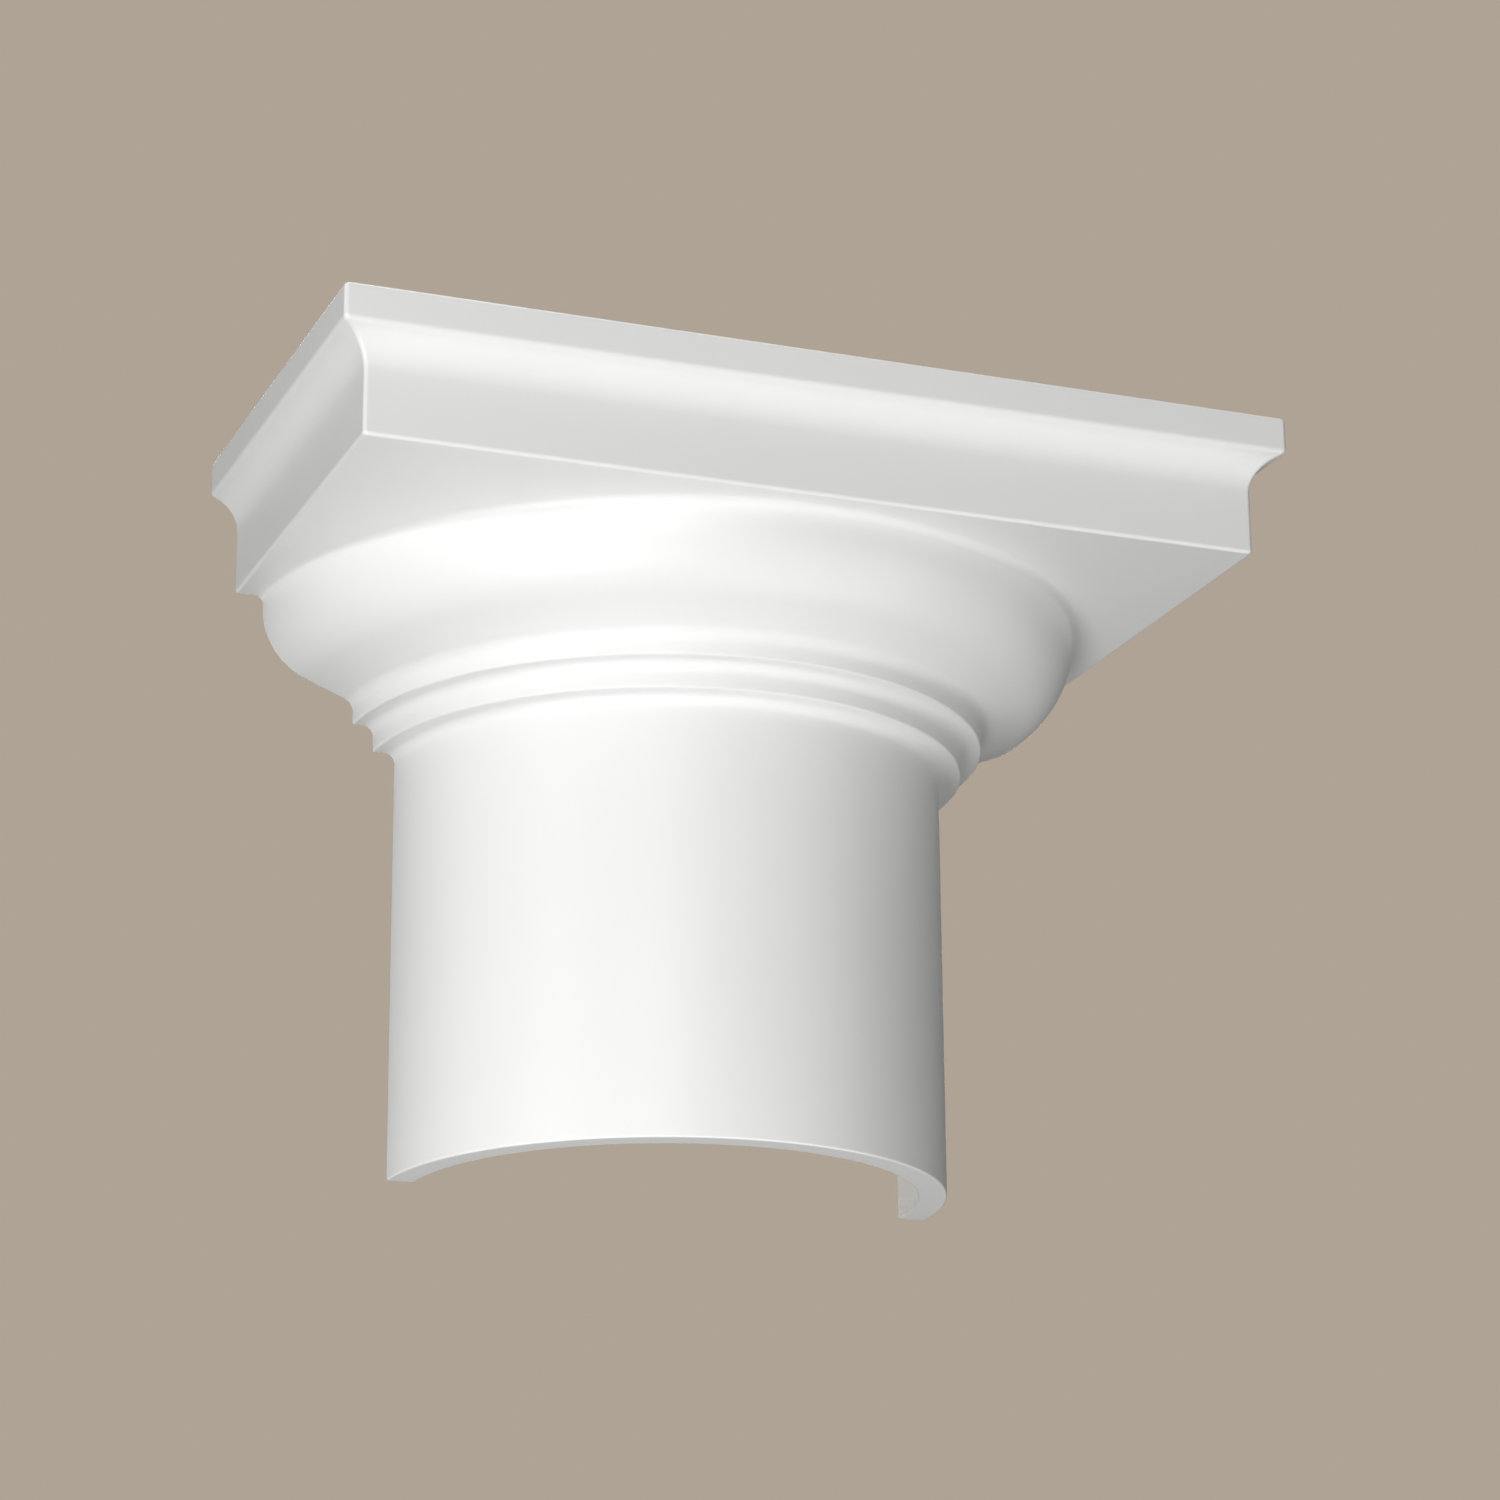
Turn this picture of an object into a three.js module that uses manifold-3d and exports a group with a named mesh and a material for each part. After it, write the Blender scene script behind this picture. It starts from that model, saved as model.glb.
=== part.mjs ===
// Doric half-column capital: a hollow half-round neck, two annulets, an echinus and a moulded half abacus,
// all in one hard-foam moulding that stands against a wall.
// Millimetres, +Z up, the wall on the +Y side. The origin is on the lower rim's level, under the middle
// of the piece's width and depth.
import * as THREE from "three";
import { mergeVertices } from "three/addons/utils/BufferGeometryUtils.js";
import Module from "manifold-3d";

// Neck: the half-round shell that carries on the line of the shaft
const neckRadius = 100;
const neckWall = 10;
const neckHeight = 149.2;

// Lower annulet: a cove, a level underside and an upright fillet
const lowerCoveRadius = 3.9;
const lowerUnderside = 4.2;
const lowerFilletHeight = 5.4;

// Upper annulet, of the same make
const upperCoveRadius = 3.9;
const upperUnderside = 3.6;
const upperFilletHeight = 4.4;

// Echinus: a cove, a low slope in degrees above level, the round, an upright strip and a small cove
const bellCoveRadius = 5.2;
const bellSlope = 22;
const bellSlopeLength = 15.2;
const bellRoundRadius = 26;
const bellUpright = 1.6;
const soffitCoveRadius = 3;

// Abacus: how far the square clears the small cove, then its fascia, cavetto and top fillet
const soffitMargin = 7;
const fasciaHeight = 22.5;
const cavettoRadius = 13;
const cavettoOverhang = 9.8;
const topFilletHeight = 12.9;

// Steps that the round forms are made in
const turnSteps = 96;
const coveSteps = 4;
const bellRoundSteps = 11;
const cavettoSteps = 7;

// How far the cutting shapes run past what they cut
const cutMargin = 20;

// The colour and finish of the factory primer
const primerColour = 0xe6e5e2;
const primerRoughness = 0.55;

// The line of a moulding, drawn outwards and upwards from its first point
class MouldingLine {
  constructor(x, height) {
    this.points = [new THREE.Vector2(x, height)];
  }

  get end() {
    return this.points.at(-1);
  }

  // A straight run, outwards and upwards by the two lengths.
  run(out, up) {
    this.points.push(new THREE.Vector2(this.end.x + out, this.end.y + up));
    return this;
  }

  // A hollow round that starts upright and turns outwards by the angle.
  cove(radius, turn, steps) {
    const start = this.end;
    for (let i = 1; i <= steps; i++) {
      const angle = (turn * i) / steps;
      const x = start.x + radius * (1 - Math.cos(angle));
      const height = start.y + radius * Math.sin(angle);
      this.points.push(new THREE.Vector2(x, height));
    }
    return this;
  }

  // A bulging round that starts at the slope and turns up until it is upright.
  ovolo(radius, slope, steps) {
    const start = this.end;
    const centreX = start.x - radius * Math.sin(slope);
    const centreHeight = start.y + radius * Math.cos(slope);
    for (let i = 1; i <= steps; i++) {
      const angle = slope + ((Math.PI / 2 - slope) * i) / steps;
      const x = centreX + radius * Math.sin(angle);
      const height = centreHeight - radius * Math.cos(angle);
      this.points.push(new THREE.Vector2(x, height));
    }
    return this;
  }
}

// The neck, annulets and echinus, up to where the echinus meets the soffit
function drawBell() {
  const slope = THREE.MathUtils.degToRad(bellSlope);
  const quarter = Math.PI / 2;
  return new MouldingLine(neckRadius, 0)
    .run(0, neckHeight)
    .cove(lowerCoveRadius, quarter, coveSteps)
    .run(lowerUnderside, 0)
    .run(0, lowerFilletHeight)
    .cove(upperCoveRadius, quarter, coveSteps)
    .run(upperUnderside, 0)
    .run(0, upperFilletHeight)
    .cove(bellCoveRadius, quarter - slope, coveSteps)
    .run(bellSlopeLength * Math.cos(slope), bellSlopeLength * Math.sin(slope))
    .ovolo(bellRoundRadius, slope, bellRoundSteps)
    .run(0, bellUpright)
    .cove(soffitCoveRadius, quarter, coveSteps);
}

// The abacus moulding, from the fascia's lower arris to the top
function drawAbacus(soffit) {
  const cavettoTurn = Math.acos(1 - cavettoOverhang / cavettoRadius);
  return new MouldingLine(soffit.x + soffitMargin, soffit.y)
    .run(0, fasciaHeight)
    .cove(cavettoRadius, cavettoTurn, cavettoSteps)
    .run(0, topFilletHeight);
}

// Turns an outline round the Z axis. The outline is closed on the axis at both ends.
function turn(points, sides, firstAngle) {
  const outline = [
    new THREE.Vector2(0, points[0].y),
    ...points,
    new THREE.Vector2(0, points.at(-1).y),
  ];
  const geometry = new THREE.LatheGeometry(outline, sides, firstAngle);
  return geometry.rotateX(Math.PI / 2);
}

// Mitres an outline round a square: four sides, with the corners out on the diagonals.
function mitre(points) {
  const diagonal = points.map((p) => new THREE.Vector2(p.x * Math.SQRT2, p.y));
  return turn(diagonal, 4, Math.PI / 4);
}

const wasm = await Module();
wasm.setup();

// A closed geometry as a solid that can be joined and cut
function solidFrom(geometry) {
  const bare = geometry.clone();
  bare.deleteAttribute("normal");
  bare.deleteAttribute("uv");
  const merged = mergeVertices(bare);
  const corners = merged.index.array;
  const kept = [];
  for (let i = 0; i < corners.length; i += 3) {
    const [a, b, c] = corners.subarray(i, i + 3);
    // A turned outline has flat triangles where it touches the axis.
    if (a !== b && b !== c && c !== a) {
      kept.push(a, b, c);
    }
  }
  const mesh = new wasm.Mesh({
    numProp: 3,
    vertProperties: merged.getAttribute("position").array,
    triVerts: Uint32Array.from(kept),
  });
  return new wasm.Manifold(mesh);
}

// A solid as a geometry that can be drawn
function geometryFrom(solid) {
  const mesh = solid.getMesh();
  const geometry = new THREE.BufferGeometry();
  const positions = new THREE.BufferAttribute(mesh.vertProperties, mesh.numProp);
  geometry.setAttribute("position", positions);
  geometry.setIndex(new THREE.BufferAttribute(mesh.triVerts, 1));
  geometry.computeVertexNormals();
  return geometry;
}

const bell = drawBell();
const soffit = bell.end.clone();
const abacus = drawAbacus(soffit);
const halfWidth = abacus.end.x;
const topHeight = abacus.end.y;

// The echinus runs on up into the abacus, so that the two join in solid material.
bell.run(0, fasciaHeight / 2);

// The hollow for the shaft runs right through, from the rim to the top.
const boreRadius = neckRadius - neckWall;
const boreLine = new MouldingLine(boreRadius, -cutMargin).run(0, topHeight + 2 * cutMargin);

// Everything behind the wall plane, which runs through the axis of the column
function behindTheWall() {
  const side = 2 * (halfWidth + cutMargin);
  const height = topHeight + 2 * cutMargin;
  const block = new THREE.BoxGeometry(side, side, height);
  return block.translate(0, side / 2, topHeight / 2);
}

const capital = solidFrom(turn(bell.points, turnSteps, 0))
  .add(solidFrom(mitre(abacus.points)))
  .subtract(solidFrom(turn(boreLine.points, turnSteps, 0)))
  .subtract(solidFrom(behindTheWall()));

const primer = new THREE.MeshStandardMaterial({
  color: primerColour,
  roughness: primerRoughness,
  metalness: 0,
  flatShading: true,
});
const halfColumnCapital = new THREE.Mesh(geometryFrom(capital), primer);
halfColumnCapital.name = "half_column_capital";

// The moulding is drawn about the column's axis. It moves back by half its depth, which centres it.
halfColumnCapital.position.y = halfWidth / 2;

const part = new THREE.Group();
part.add(halfColumnCapital);

export default part;
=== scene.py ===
"""Doric half-column capital: a white primed hard-foam moulding, cut flat to stand against a wall.

The mouldings are drawn in section, from the same sizes as the solid. The neck, annulets and echinus
are spun round the column's axis, and the abacus is swept round a square. Metres, +Z up, the wall on
the +Y side.
"""

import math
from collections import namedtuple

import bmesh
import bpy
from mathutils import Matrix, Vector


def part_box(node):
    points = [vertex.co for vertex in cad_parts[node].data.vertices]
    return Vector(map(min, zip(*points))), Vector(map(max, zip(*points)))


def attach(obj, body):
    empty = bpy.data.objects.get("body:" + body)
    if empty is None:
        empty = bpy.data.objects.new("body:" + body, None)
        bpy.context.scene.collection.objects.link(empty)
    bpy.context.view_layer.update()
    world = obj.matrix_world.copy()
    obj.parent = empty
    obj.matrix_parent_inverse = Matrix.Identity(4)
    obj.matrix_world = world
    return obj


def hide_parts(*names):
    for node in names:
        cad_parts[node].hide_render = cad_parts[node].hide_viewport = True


bl_info = {
    "name": "Doric Half-Column Capital",
    "version": (1, 0, 0),
    "blender": (4, 5, 0),
    "location": "View3D > Sidebar > Capital",
    "description": "Models a primed hard-foam half capital and sets its studio",
    "category": "Add Mesh",
}

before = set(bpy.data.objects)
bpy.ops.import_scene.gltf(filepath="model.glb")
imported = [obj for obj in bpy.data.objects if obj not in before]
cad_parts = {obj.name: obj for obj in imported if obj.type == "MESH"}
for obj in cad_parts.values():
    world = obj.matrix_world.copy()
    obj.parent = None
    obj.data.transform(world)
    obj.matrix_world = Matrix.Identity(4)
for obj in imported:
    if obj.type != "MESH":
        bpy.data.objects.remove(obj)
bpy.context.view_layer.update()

NODE = "half_column_capital"
BODY = "root"

# The column's axis stands on the wall plane, which is the back of the solid.
LOW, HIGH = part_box(NODE)
TOP = HIGH.z
AXIS = Vector((0.0, HIGH.y, 0.0))
MIDDLE = (LOW + HIGH) / 2

QUARTER = math.pi / 2
UPWARDS = Vector((0.0, 0.0, 1.0))
ACROSS = Vector((1.0, 0.0, 0.0))
TO_WALL = Vector((0.0, 1.0, 0.0))

# Points that are closer together than this are one point.
SAME_POINT = 1e-6

# The drawn section may miss the width of the solid by this much.
FIT_TOLERANCE = 5e-5

# The border that keeps the faces at the wall flat, as a share of the radius on their edges
WALL_BORDER = 1 / 3

# The primer is the capital's first material, and the bare foam is its second.
FOAM_INDEX = 1


def length(name, description, default):
    """A length that can be set in the panel."""
    return bpy.props.FloatProperty(
        name=name, description=description, default=default, min=0, precision=5, unit="LENGTH"
    )


def angle(name, description, degrees):
    """An angle that can be set in the panel."""
    return bpy.props.FloatProperty(
        name=name, description=description, default=math.radians(degrees), unit="ROTATION"
    )


def colour(name, description, default):
    """A colour that can be set in the panel."""
    return bpy.props.FloatVectorProperty(
        name=name, description=description, default=default, min=0, max=1, subtype="COLOR"
    )


def step_count(name, description, default, least):
    """A number of steps that can be set in the panel."""
    return bpy.props.IntProperty(
        name=name, description=description, default=default, min=least
    )


class CapitalSizes(bpy.types.PropertyGroup):
    """The mouldings, from the rim up, with the sizes of the solid"""

    neck_radius: length("Neck radius", "Outer radius of the half-round neck", 0.1)
    neck_wall: length("Neck wall", "Thickness of the neck's shell", 0.01)
    neck_height: length("Neck height", "From the rim up to the first cove", 0.1492)
    lower_cove: length("Lower cove", "Radius of the cove under the lower annulet", 0.0039)
    lower_underside: length("Lower underside", "Level underside of the lower annulet", 0.0042)
    lower_fillet: length("Lower fillet", "Height of the lower annulet's face", 0.0054)
    upper_cove: length("Upper cove", "Radius of the cove under the upper annulet", 0.0039)
    upper_underside: length("Upper underside", "Level underside of the upper annulet", 0.0036)
    upper_fillet: length("Upper fillet", "Height of the upper annulet's face", 0.0044)
    bell_cove: length("Echinus cove", "Radius of the cove under the echinus", 0.0052)
    bell_slope: angle("Echinus slope", "Slope of the echinus where it starts", 22)
    bell_slope_length: length("Echinus start", "Length of the echinus's straight start", 0.0152)
    bell_round: length("Echinus round", "Radius of the echinus's bulge", 0.026)
    bell_upright: length("Echinus upright", "Upright strip over the echinus's bulge", 0.0016)
    soffit_cove: length("Soffit cove", "Radius of the cove between echinus and soffit", 0.003)
    soffit_margin: length("Soffit margin", "How far the abacus clears that cove", 0.007)
    fascia_height: length("Fascia height", "Height of the abacus's plain face", 0.0225)
    cavetto_radius: length("Cavetto radius", "Radius of the hollow over the fascia", 0.013)
    cavetto_overhang: length("Cavetto overhang", "How far it brings the top out", 0.0098)


class CapitalArrises(bpy.types.PropertyGroup):
    """How far the mould and the primer soften each arris, and how finely the rounds are stepped"""

    rim: length("Rim", "Radius on the edges of the neck's rim", 0.0007)
    annulet: length("Annulets", "Radius under the faces of the annulets", 0.0008)
    fascia: length("Fascia", "Radius on the fascia's lower arris", 0.0013)
    cavetto: length("Cavetto", "Radius where the cavetto rolls over to the top fillet", 0.0022)
    top: length("Top", "Radius on the top arris", 0.0016)
    mitre: length("Mitre", "Radius on the abacus's upright corners", 0.0013)
    wall_cut: length("Wall cut", "Radius on the edges that meet the wall", 0.0005)
    chord_error: length("Chord error", "How far a round's chords may lie inside it", 0.00001)
    flat_band: length("Flat band", "Strip beside a round that keeps the flat face flat", 0.0003)
    side_steps: step_count("Side steps", "Steps along each side and half the front", 22, 3)
    mitre_steps: step_count("Mitre steps", "Steps round each upright corner", 4, 1)
    wall_steps: step_count("Wall cut steps", "Steps round the edges at the wall", 3, 1)


class CapitalFinish(bpy.types.PropertyGroup):
    """The white primer and the bare foam that it leaves open"""

    primer: colour("Primer", "Colour of the factory primer", (0.86, 0.86, 0.85))
    foam: colour("Foam", "Colour of the bare foam", (0.80, 0.785, 0.745))
    primer_grain: length("Primer grain", "Size of the sprayed primer's fine texture", 0.0011)
    foam_pores: length("Foam pores", "Distance between the bare foam's pores", 0.0014)


class CapitalStudio(bpy.types.PropertyGroup):
    """The camera, the backdrop and the floor"""

    azimuth: angle("Camera azimuth", "From straight in front, towards +X", -21.283)
    elevation: angle("Camera elevation", "Above the horizon", -17.943)
    roll: angle("Camera roll", "Turn about the line of sight", -0.412)
    distance: length("Camera distance", "From the point that it looks at", 1.5022)
    aim: bpy.props.FloatVectorProperty(
        name="Camera aim",
        description="The point that the camera looks at",
        default=(0, -0.0045, 0.1387),
        subtype="TRANSLATION",
    )
    lens: bpy.props.FloatProperty(
        name="Lens", description="Focal length", default=105.58, unit="CAMERA"
    )
    backdrop: colour("Backdrop", "Colour behind the object", (0.429, 0.366, 0.301))
    floor: colour("Floor", "Colour of the floor's own surface", (0.2, 0.185, 0.165))
    floor_glow: bpy.props.FloatProperty(
        name="Floor glow",
        description="How bright the floor is in the backdrop's colour where no light falls on it",
        default=1,
        min=0,
        subtype="FACTOR",
    )
    ambient: bpy.props.FloatProperty(
        name="Ambient", description="Strength of the light from all round", default=0.01, min=0
    )


class OutlinePen:
    """Draws an outline in a bmesh, point by point, in an upright or a level plane.

    A heading of zero points across, and a quarter turn points along the plane's second direction.
    """

    def __init__(self, bm, start, heading, second, chord_error):
        self.bm = bm
        self.heading = heading
        self.second = second
        self.chord_error = chord_error
        self.tip = bm.verts.new(start)
        self.points = [self.tip]

    def direction(self, turned=0.0):
        """The direction of the heading, turned to the left by an angle."""
        heading = self.heading + turned
        return ACROSS * math.cos(heading) + self.second * math.sin(heading)

    def move_on(self, point):
        """Takes a new point as the pen's tip."""
        self.tip = point
        self.points.append(point)

    def run(self, distance, steps=1):
        """A straight run in even steps."""
        for _ in range(steps):
            made = bmesh.ops.extrude_vert_indiv(self.bm, verts=[self.tip])
            self.move_on(made["verts"][0])
            step = self.direction() * (distance / steps)
            bmesh.ops.translate(self.bm, verts=[self.tip], vec=step)

    def flat(self, distance, band):
        """A straight run with a narrow band at each end, so that the face between shades flat."""
        self.run(band)
        self.run(distance - 2 * band)
        self.run(band)

    def turn(self, radius, turned, steps=None):
        """A round of that radius, to the left where the angle is positive."""
        side = math.copysign(QUARTER, turned)
        centre = self.tip.co + self.direction(side) * radius
        steps = steps or self.steps_for(radius, turned)
        for _ in range(steps):
            made = bmesh.ops.spin(
                self.bm,
                geom=[self.tip],
                cent=centre,
                axis=ACROSS.cross(self.second),
                angle=turned / steps,
                steps=1,
            )
            self.move_on(made["geom_last"][0])
        self.heading += turned

    def steps_for(self, radius, turned):
        """How many chords keep to the chord error."""
        widest = 2 * math.acos(1 - self.chord_error / radius)
        return math.ceil(abs(turned) / widest)

    def edges(self):
        """The edges between the pen's points, each once, in the order that they were drawn."""
        return list(dict.fromkeys(edge for point in self.points for edge in point.link_edges))


def draw_round_section(bm, sizes, arrises):
    """The section that is spun: down the bore, round the rim and up to the soffit."""
    band = arrises.flat_band
    bore = sizes.neck_radius - sizes.neck_wall
    start = AXIS + ACROSS * (bore + arrises.rim + band) + UPWARDS * TOP
    pen = OutlinePen(bm, start, math.pi, UPWARDS, arrises.chord_error)

    # The bore, the rim and the neck
    pen.run(band)
    pen.turn(arrises.rim, QUARTER)
    pen.flat(TOP - 2 * arrises.rim, band)
    pen.turn(arrises.rim, QUARTER)
    pen.flat(sizes.neck_wall - 2 * arrises.rim, band)
    pen.turn(arrises.rim, QUARTER)
    pen.flat(sizes.neck_height - arrises.rim, band)

    # The lower annulet
    pen.turn(sizes.lower_cove, -QUARTER)
    pen.flat(sizes.lower_underside - arrises.annulet, band)
    pen.turn(arrises.annulet, QUARTER)
    pen.flat(sizes.lower_fillet - arrises.annulet, band)

    # The upper annulet
    pen.turn(sizes.upper_cove, -QUARTER)
    pen.flat(sizes.upper_underside - arrises.annulet, band)
    pen.turn(arrises.annulet, QUARTER)
    pen.flat(sizes.upper_fillet - arrises.annulet, band)

    # The echinus, the cove over it and a band of the soffit
    pen.turn(sizes.bell_cove, sizes.bell_slope - QUARTER)
    pen.flat(sizes.bell_slope_length, band)
    pen.turn(sizes.bell_round, QUARTER - sizes.bell_slope)
    pen.run(sizes.bell_upright)
    pen.turn(sizes.soffit_cove, -QUARTER)
    pen.run(band)
    return pen


def draw_abacus_section(bm, sizes, arrises, echinus_edge):
    """The section that is swept round the square: the fascia, the cavetto and the top fillet."""
    band = arrises.flat_band

    # The echinus ends a band out on the soffit, and the abacus starts a band short of its round.
    start = echinus_edge + ACROSS * (sizes.soffit_margin - arrises.fascia - 2 * band)
    pen = OutlinePen(bm, start, 0.0, UPWARDS, arrises.chord_error)
    pen.run(band)
    pen.turn(arrises.fascia, QUARTER)
    pen.flat(sizes.fascia_height - arrises.fascia, band)

    # The cavetto turns out as far as the roll over it turns back, and the two make up the overhang.
    turned = math.acos(1 - sizes.cavetto_overhang / (sizes.cavetto_radius + arrises.cavetto))
    pen.turn(sizes.cavetto_radius, -turned)
    pen.turn(arrises.cavetto, turned)
    pen.flat(TOP - pen.tip.co.z - arrises.top, band)
    drawn = pen.tip.co.x
    if abs(drawn - HIGH.x) > FIT_TOLERANCE:
        raise RuntimeError(f"the abacus is drawn {drawn:.5f} m out, and the solid {HIGH.x:.5f} m")
    pen.turn(arrises.top, QUARTER)
    pen.run(band)
    return pen


def draw_abacus_plan(bm, arrises, start):
    """Three sides of a square, from the wall on the right, round the front, to the wall again."""
    # The band beside a corner counts as one of the side's steps.
    band = arrises.flat_band
    side = start.x - arrises.mitre - band
    even_steps = arrises.side_steps - 1
    pen = OutlinePen(bm, start, -QUARTER, TO_WALL, arrises.chord_error)
    pen.run(side, even_steps)
    pen.run(band)
    pen.turn(arrises.mitre, -QUARTER, arrises.mitre_steps)
    pen.run(band)
    pen.run(2 * side, 2 * even_steps)
    pen.run(band)
    pen.turn(arrises.mitre, -QUARTER, arrises.mitre_steps)
    pen.run(band)
    pen.run(side, even_steps)
    return pen


def spin_round_part(bm, section, arrises):
    """Spins the section round the column's axis, from the wall on the right to the left."""
    # It takes as many steps as the abacus's plan, so that the two bridge point to point.
    turn_steps = 4 * arrises.side_steps + 2 * arrises.mitre_steps
    outline = section.points + section.edges()
    bmesh.ops.spin(bm, geom=outline, cent=AXIS, axis=UPWARDS, angle=-math.pi, steps=turn_steps)


def sweep_abacus(bm, section, arrises):
    """Sweeps the section round three sides of the square, a layer for each of its points."""
    levels = [point.co.copy() for point in section.points]
    bmesh.ops.delete(bm, geom=section.points, context="VERTS")
    layer = draw_abacus_plan(bm, arrises, levels[0]).edges()
    about_axis = Matrix.Translation(-AXIS)
    for level, following in zip(levels, levels[1:]):
        made = bmesh.ops.extrude_edge_only(bm, edges=layer)["geom"]
        layer = [part for part in made if isinstance(part, bmesh.types.BMEdge)]
        points = [part for part in made if isinstance(part, bmesh.types.BMVert)]
        wider = following.x / level.x
        bmesh.ops.scale(bm, verts=points, vec=(wider, wider, 1), space=about_axis)
        bmesh.ops.translate(bm, verts=points, vec=UPWARDS * (following.z - level.z))


def close_level_face(bm, height):
    """Bridges the round opening and the square one that lie on one level."""

    def is_level_and_open(edge):
        level = all(abs(v.co.z - height) < SAME_POINT for v in edge.verts)
        at_wall = all(abs(v.co.y - AXIS.y) < SAME_POINT for v in edge.verts)
        return edge.is_boundary and level and not at_wall

    bmesh.ops.bridge_loops(bm, edges=[edge for edge in bm.edges if is_level_and_open(edge)])


def close_at_wall(bm, arrises):
    """Fills the two faces that meet the wall and softens their edges."""
    # A cut beside the softened edge keeps it from shading the faces that run up to it.
    beside = AXIS - TO_WALL * (arrises.wall_cut + arrises.flat_band)
    everything = bm.verts[:] + bm.edges[:] + bm.faces[:]
    bmesh.ops.bisect_plane(
        bm, geom=everything, dist=SAME_POINT, plane_co=beside, plane_no=TO_WALL
    )
    outlines = [edge for edge in bm.edges if edge.is_boundary]
    bmesh.ops.holes_fill(bm, edges=outlines, sides=0)
    bmesh.ops.bevel(
        bm,
        geom=outlines,
        offset=arrises.wall_cut,
        offset_type="OFFSET",
        segments=arrises.wall_steps,
        profile=0.5,
        affect="EDGES",
        clamp_overlap=False,
        material=-1,
    )
    wall_faces = sorted(bm.faces, key=lambda face: face.calc_area())[-2:]
    border = arrises.wall_cut * WALL_BORDER
    bmesh.ops.inset_individual(bm, faces=wall_faces, thickness=border)


def leave_bare(bm, sizes, arrises):
    """Gives the bore, the top and the faces at the wall the bare foam."""
    halfway = math.cos(QUARTER / 2)
    bore = sizes.neck_radius - sizes.neck_wall + arrises.rim * (1 - halfway)
    for face in bm.faces:
        middle = face.calc_center_median() - AXIS
        in_bore = math.hypot(middle.x, middle.y) < bore
        if in_bore or face.normal.z > halfway or face.normal.y > halfway:
            face.material_index = FOAM_INDEX


def put_in_order(bm):
    """Orders the points, edges and faces by place, because a spin leaves them in any order."""
    for order, point in enumerate(sorted(bm.verts, key=lambda point: point.co[:])):
        point.index = order
    bm.verts.sort()
    for parts in (bm.edges, bm.faces):
        by_points = sorted(parts, key=lambda part: sorted(point.index for point in part.verts))
        for order, part in enumerate(by_points):
            part.index = order
        parts.sort()


def model_capital(sizes, arrises):
    """The whole capital as one closed bmesh."""
    bm = bmesh.new()
    round_section = draw_round_section(bm, sizes, arrises)
    echinus_edge = round_section.tip.co.copy()
    spin_round_part(bm, round_section, arrises)
    sweep_abacus(bm, draw_abacus_section(bm, sizes, arrises, echinus_edge), arrises)
    close_level_face(bm, echinus_edge.z)
    close_level_face(bm, TOP)
    close_at_wall(bm, arrises)
    bmesh.ops.remove_doubles(bm, verts=bm.verts, dist=SAME_POINT)
    bmesh.ops.recalc_face_normals(bm, faces=bm.faces)
    leave_bare(bm, sizes, arrises)
    put_in_order(bm)
    open_edges = sum(not edge.is_manifold for edge in bm.edges)
    if open_edges:
        raise RuntimeError(f"the capital's mesh has {open_edges} open edges")
    return bm


def new_object(name, data):
    """A new object in the scene that holds the data."""
    made = bpy.data.objects.new(name, data)
    bpy.context.scene.collection.objects.link(made)
    return made


def object_from(bm, name, materials):
    """A smooth-shaded object that keeps its place in its mesh."""
    mesh = bpy.data.meshes.new(name)
    bm.to_mesh(mesh)
    bm.free()
    for material in materials:
        mesh.materials.append(material)
    mesh.shade_smooth()
    return new_object(name, mesh)


class NodeBench:
    """Places and joins the nodes of a material, a group or a world."""

    def __init__(self, tree):
        self.tree = tree

    def add(self, kind, **settings):
        """A new node with its settings."""
        node = self.tree.nodes.new(kind)
        for name, value in settings.items():
            setattr(node, name, value)
        return node

    def join(self, output, socket):
        """Joins an output to a socket."""
        self.tree.links.new(output, socket)

    def feed(self, socket, value):
        """Joins an output to the socket, or sets the socket to a plain value."""
        if isinstance(value, bpy.types.NodeSocket):
            self.join(value, socket)
        else:
            socket.default_value = value

    def maths(self, operation, first, second):
        """The result of an operation on two values or outputs."""
        node = self.add("ShaderNodeMath", operation=operation)
        self.feed(node.inputs[0], first)
        self.feed(node.inputs[1], second)
        return node.outputs["Value"]

    def noise(self, place, scale, detail):
        """Noise from -0.5 to 0.5, or near it."""
        node = self.add("ShaderNodeTexNoise", noise_dimensions="3D")
        self.join(place, node.inputs["Vector"])
        self.feed(node.inputs["Scale"], scale)
        node.inputs["Detail"].default_value = detail
        return self.maths("SUBTRACT", node.outputs["Fac"], 0.5)

    def mix(self, share, first, second):
        """The first shader where the share is zero, and the second where it is one."""
        node = self.add("ShaderNodeMixShader")
        self.join(share, node.inputs["Fac"])
        self.join(first, node.inputs[1])
        self.join(second, node.inputs[2])
        return node.outputs["Shader"]


FLOAT = "NodeSocketFloat"
RGBA = "NodeSocketColor"

# How many patches a noise has to the metre, and how many finer layers lie in them
BLOTCH_NOISE = (24, 3)
GLOSS_NOISE = (90, 4)
WAVE_NOISE = (11, 1)
GRAIN_LAYERS = 2


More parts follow.
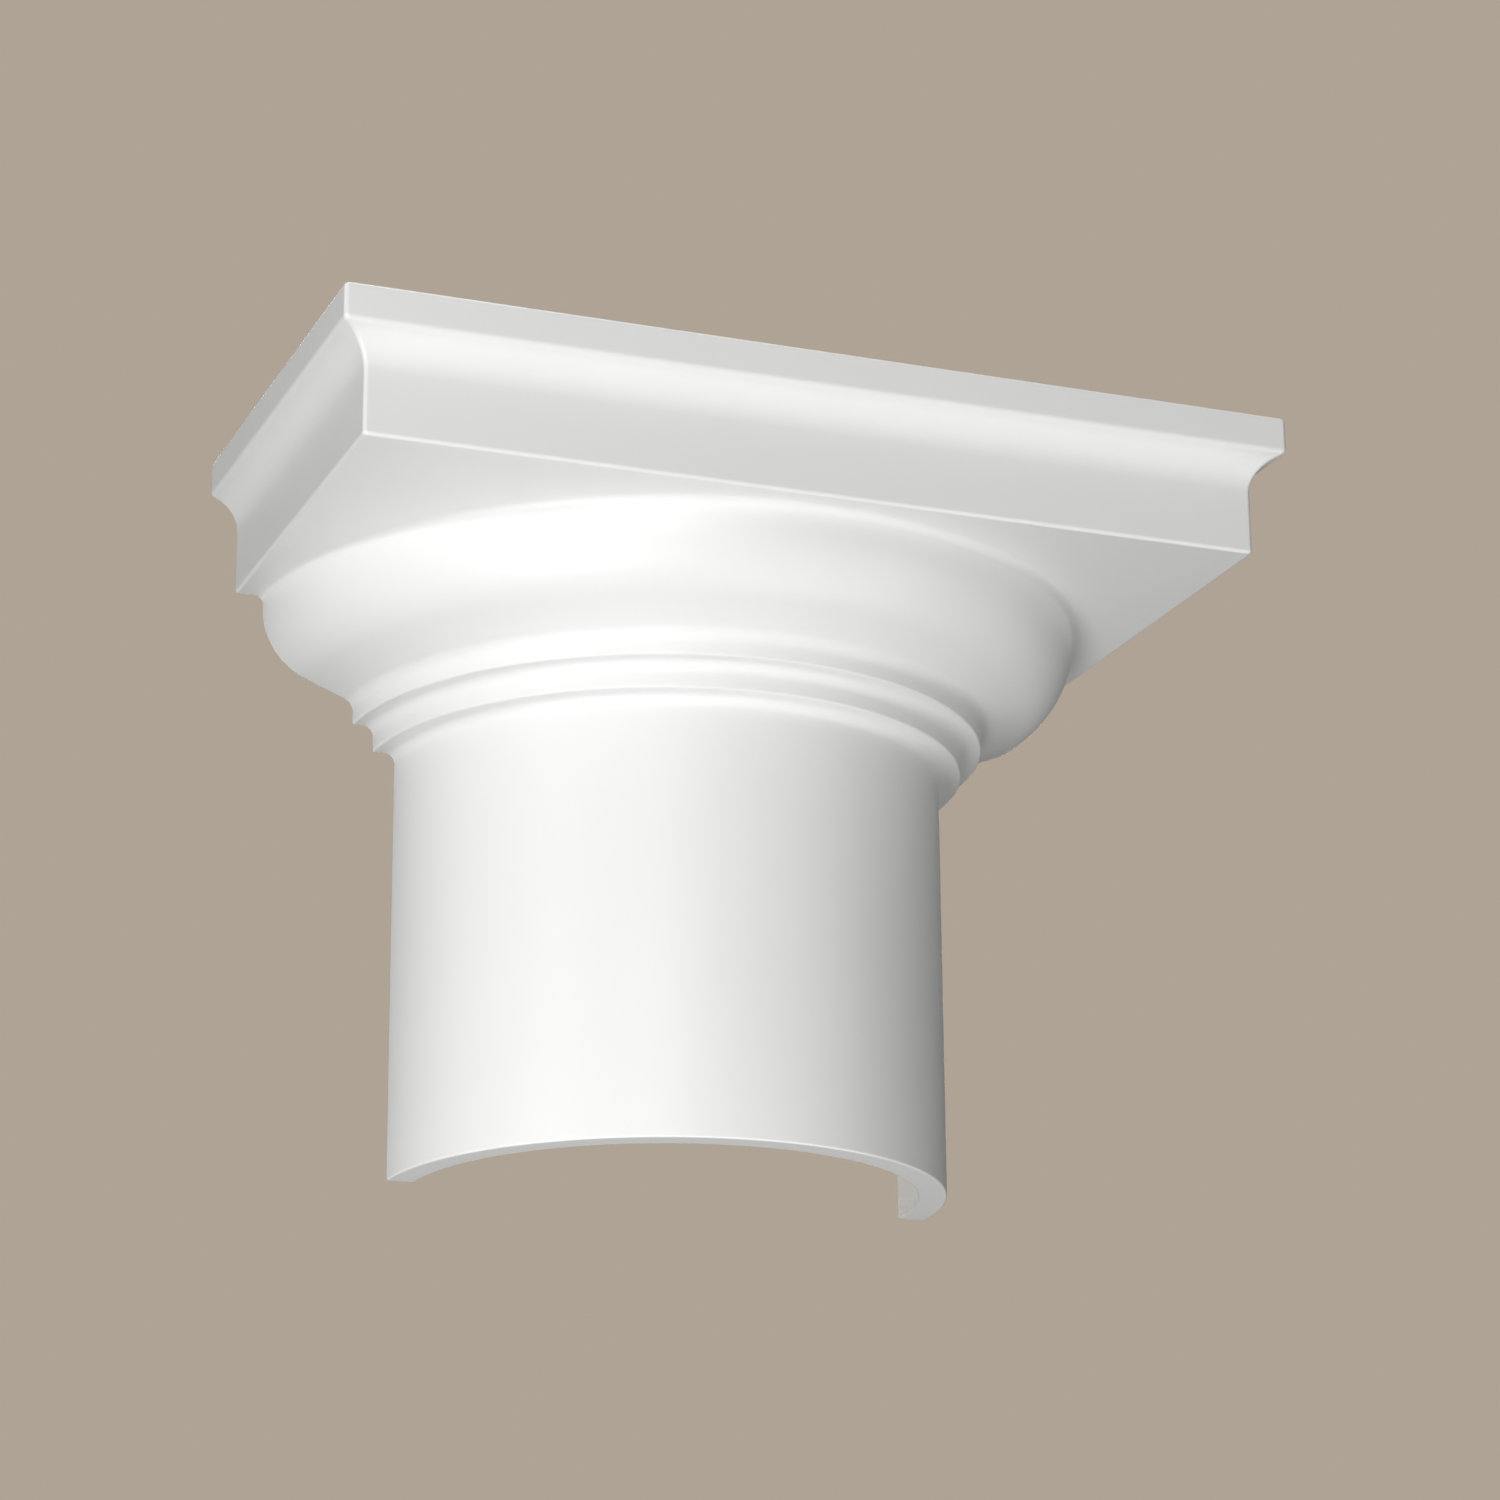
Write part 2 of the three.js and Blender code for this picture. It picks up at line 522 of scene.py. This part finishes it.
def moulded_surface_group():
    """The node group that both finishes share: blotches, uneven gloss, grain and slow waves."""
    group = bpy.data.node_groups.new("Moulded surface", "ShaderNodeTree")
    inputs = (
        ("Colour", RGBA),
        ("Blotches", FLOAT),
        ("Roughness", FLOAT),
        ("Uneven gloss", FLOAT),
        ("Grain size", FLOAT),
        ("Grain depth", FLOAT),
        ("Wave depth", FLOAT),
    )
    for name, kind in inputs:
        group.interface.new_socket(name, in_out="INPUT", socket_type=kind)
    for name, kind in (("Colour", RGBA), ("Roughness", FLOAT), ("Height", FLOAT)):
        group.interface.new_socket(name, in_out="OUTPUT", socket_type=kind)

    bench = NodeBench(group)
    given = bench.add("NodeGroupInput").outputs
    result = bench.add("NodeGroupOutput").inputs
    place = bench.add("ShaderNodeTexCoord").outputs["Object"]

    # Blotches a few centimetres across, in the colour
    blotches = bench.noise(place, *BLOTCH_NOISE)
    tint = bench.maths("ADD", bench.maths("MULTIPLY", blotches, given["Blotches"]), 1)
    tinted = bench.add("ShaderNodeVectorMath", operation="SCALE")
    bench.join(given["Colour"], tinted.inputs["Vector"])
    bench.join(tint, tinted.inputs["Scale"])
    bench.join(tinted.outputs["Vector"], result["Colour"])

    # Gloss that changes over a centimetre or so
    gloss = bench.maths("MULTIPLY", bench.noise(place, *GLOSS_NOISE), given["Uneven gloss"])
    bench.join(bench.maths("ADD", gloss, given["Roughness"]), result["Roughness"])

    # Fine grain, and waves about a hand wide
    grain = bench.noise(place, bench.maths("DIVIDE", 1, given["Grain size"]), GRAIN_LAYERS)
    waves = bench.noise(place, *WAVE_NOISE)
    grain_height = bench.maths("MULTIPLY", grain, given["Grain depth"])
    wave_height = bench.maths("MULTIPLY", waves, given["Wave depth"])
    bench.join(bench.maths("ADD", grain_height, wave_height), result["Height"])
    return group


def moulded_material(name, group, values):
    """A material with the shared surface, and its bench, surface and bump nodes."""
    material = bpy.data.materials.new(name)
    material.use_nodes = True
    bench = NodeBench(material.node_tree)
    shader = material.node_tree.nodes["Principled BSDF"]
    surface = bench.add("ShaderNodeGroup", node_tree=group)
    for socket, value in values.items():
        surface.inputs[socket].default_value = value
    bump = bench.add("ShaderNodeBump")
    bump.inputs["Strength"].default_value = 1
    bump.inputs["Distance"].default_value = 1
    bench.join(surface.outputs["Colour"], shader.inputs["Base Color"])
    bench.join(surface.outputs["Roughness"], shader.inputs["Roughness"])
    bench.join(surface.outputs["Height"], bump.inputs["Height"])
    bench.join(bump.outputs["Normal"], shader.inputs["Normal"])
    return material, bench, surface, bump


def primer_material(finish, group):
    """White sprayed primer: satin, with a fine even grain."""
    values = {
        "Colour": (*finish.primer, 1),
        "Blotches": 0.03,
        "Roughness": 0.44,
        "Uneven gloss": 0.12,
        "Grain size": finish.primer_grain,
        "Grain depth": 0.00001,
        "Wave depth": 0.0003,
    }
    return moulded_material("White primer", group, values)[0]


# A pore's floor and rim, as shares of the distance between pores, and its depth in metres
PORE_FLOOR = 0.1
PORE_RIM = 0.34
PORE_DEPTH = 0.00018
GRAINS_PER_PORE = 3


def foam_material(finish, group):
    """Bare hard foam: matt and a little warmer, with open pores."""
    values = {
        "Colour": (*finish.foam, 1),
        "Blotches": 0.08,
        "Roughness": 0.74,
        "Uneven gloss": 0.1,
        "Grain size": finish.foam_pores / GRAINS_PER_PORE,
        "Grain depth": 0.00004,
        "Wave depth": 0.0004,
    }
    material, bench, surface, bump = moulded_material("Bare foam", group, values)
    pores = bench.add("ShaderNodeTexVoronoi", feature="F1")
    pores.inputs["Scale"].default_value = 1 / finish.foam_pores
    bench.join(bench.add("ShaderNodeTexCoord").outputs["Object"], pores.inputs["Vector"])
    pit = bench.add("ShaderNodeMapRange")
    pit.inputs["From Min"].default_value = PORE_FLOOR
    pit.inputs["From Max"].default_value = PORE_RIM
    pit.inputs["To Min"].default_value = -PORE_DEPTH
    pit.inputs["To Max"].default_value = 0
    bench.join(pores.outputs["Distance"], pit.inputs["Value"])
    height = bench.maths("ADD", surface.outputs["Height"], pit.outputs["Result"])
    bench.join(height, bump.inputs["Height"])
    return material


class CAPITAL_OT_model_capital(bpy.types.Operator):
    """Models the half capital in the place of its solid"""

    bl_idname = "capital.model_capital"
    bl_label = "Model the Capital"

    def execute(self, context):
        scene = context.scene
        group = moulded_surface_group()
        materials = [
            primer_material(scene.capital_finish, group),
            foam_material(scene.capital_finish, group),
        ]
        bm = model_capital(scene.capital_sizes, scene.capital_arrises)
        piece = object_from(bm, "primed_half_capital", materials)
        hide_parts(NODE)
        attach(piece, BODY)
        return {"FINISHED"}


# Azimuth and elevation in degrees, distance and side in metres, power in watts
Lamp = namedtuple("Lamp", "name azimuth elevation distance side power")
LAMPS = (
    Lamp("Key", -48, -42, 1.1, 0.5, 6.7),
    Lamp("Front", -35, -10, 2.5, 2.4, 14.6),
    Lamp("Front spot", -22, 1.5, 2.5, 0.12, 13.6),
    Lamp("Left spot", -65, 5, 2.5, 0.12, 9.8),
    Lamp("Left side", -95, 20, 2.5, 1.2, 4),
    Lamp("Right", 50, -25, 2.5, 1.2, 10.4),
    Lamp("Low right", 70, -60, 1.1, 0.5, 1.64),
    Lamp("Below", 0, -88, 0.6, 0.4, 0.25),
    Lamp("Overhead", 0, 88, 2.0, 1.0, 26),
    Lamp("Back", 165, 25, 2.2, 1.2, 41),
)

# The camera's sensor, in millimetres
SENSOR_WIDTH = 36

FLOOR_RADIUS = 40
FLOOR_SIDES = 64
FLOOR_DROP = 0.0002
FLOOR_ROUGHNESS = 0.9
WHITE = (1, 1, 1, 1)


def compass(azimuth, elevation):
    """The direction to a place round the object. Azimuth zero is in front, a quarter turn at +X."""
    level = math.cos(elevation)
    across = math.sin(azimuth) * level
    to_front = math.cos(azimuth) * level
    return Vector((across, -to_front, math.sin(elevation)))


def place_camera(studio):
    """The camera of the photograph, below the object and to its left."""
    lens = bpy.data.cameras.new("Camera")
    lens.lens = studio.lens
    lens.sensor_width = SENSOR_WIDTH
    camera = new_object("Camera", lens)
    away = compass(studio.azimuth, studio.elevation)
    camera.matrix_world = (
        Matrix.Translation(Vector(studio.aim) + away * studio.distance)
        @ Matrix.Rotation(studio.azimuth, 4, UPWARDS)
        @ Matrix.Rotation(QUARTER - studio.elevation, 4, ACROSS)
        @ Matrix.Rotation(studio.roll, 4, UPWARDS)
    )
    bpy.context.scene.camera = camera


def place_lamp(lamp):
    """A square light that faces the middle of the object, large and soft or small and hard."""
    light = bpy.data.lights.new(lamp.name, "AREA")
    light.shape = "SQUARE"
    light.size = lamp.side
    light.energy = lamp.power
    made = new_object(lamp.name, light)
    away = compass(math.radians(lamp.azimuth), math.radians(lamp.elevation))
    facing = away.to_track_quat("Z", "Y").to_matrix().to_4x4()
    made.matrix_world = Matrix.Translation(MIDDLE + away * lamp.distance) @ facing
    made.visible_camera = False


def set_world(studio):
    """A plain backdrop for the camera, and even light from all round for everything else."""
    world = bpy.data.worlds.new("Studio")
    world.use_nodes = True
    bpy.context.scene.world = world
    world.node_tree.nodes.clear()
    bench = NodeBench(world.node_tree)
    around = bench.add("ShaderNodeBackground")
    around.inputs["Color"].default_value = WHITE
    around.inputs["Strength"].default_value = studio.ambient
    behind = bench.add("ShaderNodeBackground")
    behind.inputs["Color"].default_value = (*studio.backdrop, 1)
    seen = bench.add("ShaderNodeLightPath").outputs["Is Camera Ray"]
    mixed = bench.mix(seen, around.outputs["Background"], behind.outputs["Background"])
    bench.join(mixed, bench.add("ShaderNodeOutputWorld").inputs["Surface"])


def floor_material(studio):
    """A floor that melts into the backdrop. It shows from above only, as the camera is below it."""
    material = bpy.data.materials.new("Pale floor")
    material.use_nodes = True
    bench = NodeBench(material.node_tree)
    shader = material.node_tree.nodes["Principled BSDF"]
    shader.inputs["Base Color"].default_value = (*studio.floor, 1)
    shader.inputs["Roughness"].default_value = FLOOR_ROUGHNESS
    shader.inputs["Emission Color"].default_value = (*studio.backdrop, 1)
    shader.inputs["Emission Strength"].default_value = studio.floor_glow
    from_below = bench.add("ShaderNodeNewGeometry").outputs["Backfacing"]
    clear = bench.add("ShaderNodeBsdfTransparent").outputs["BSDF"]
    mixed = bench.mix(from_below, shader.outputs["BSDF"], clear)
    bench.join(mixed, material.node_tree.nodes["Material Output"].inputs["Surface"])
    return material


def lay_floor(studio):
    """A wide round floor just under the rim. It neither blocks nor throws back any light."""
    bm = bmesh.new()
    bmesh.ops.create_circle(bm, cap_ends=True, radius=FLOOR_RADIUS, segments=FLOOR_SIDES)
    bmesh.ops.translate(bm, verts=bm.verts, vec=UPWARDS * (LOW.z - FLOOR_DROP))
    floor = object_from(bm, "studio_floor", [floor_material(studio)])
    floor.visible_shadow = False
    floor.visible_diffuse = False
    floor.visible_glossy = False
    floor.visible_transmission = False


class CAPITAL_OT_set_studio(bpy.types.Operator):
    """Sets the camera, the backdrop, the floor and the lamps"""

    bl_idname = "capital.set_studio"
    bl_label = "Set the Studio"

    def execute(self, context):
        studio = context.scene.capital_studio
        place_camera(studio)
        set_world(studio)
        lay_floor(studio)
        for lamp in LAMPS:
            place_lamp(lamp)
        context.scene.view_settings.view_transform = "Standard"
        return {"FINISHED"}


GROUPS = {
    "capital_sizes": CapitalSizes,
    "capital_arrises": CapitalArrises,
    "capital_finish": CapitalFinish,
    "capital_studio": CapitalStudio,
}
OPERATORS = (CAPITAL_OT_model_capital, CAPITAL_OT_set_studio)


class CAPITAL_PT_panel(bpy.types.Panel):
    """Lists the capital's operators and settings"""

    bl_idname = "CAPITAL_PT_panel"
    bl_label = "Half-Column Capital"
    bl_space_type = "VIEW_3D"
    bl_region_type = "UI"
    bl_category = "Capital"

    def draw(self, context):
        for operator in OPERATORS:
            self.layout.operator(operator.bl_idname)
        for name, group in GROUPS.items():
            settings = self.layout.box().column()
            for setting in group.__annotations__:
                settings.prop(getattr(context.scene, name), setting)


CLASSES = (*GROUPS.values(), *OPERATORS, CAPITAL_PT_panel)


def register():
    for cls in CLASSES:
        bpy.utils.register_class(cls)
    for name, group in GROUPS.items():
        setattr(bpy.types.Scene, name, bpy.props.PointerProperty(type=group))


def unregister():
    for name in GROUPS:
        delattr(bpy.types.Scene, name)
    for cls in reversed(CLASSES):
        bpy.utils.unregister_class(cls)


def main():
    """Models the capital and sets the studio."""
    register()
    bpy.ops.capital.model_capital()
    bpy.ops.capital.set_studio()


if __name__ == "__main__":
    main()
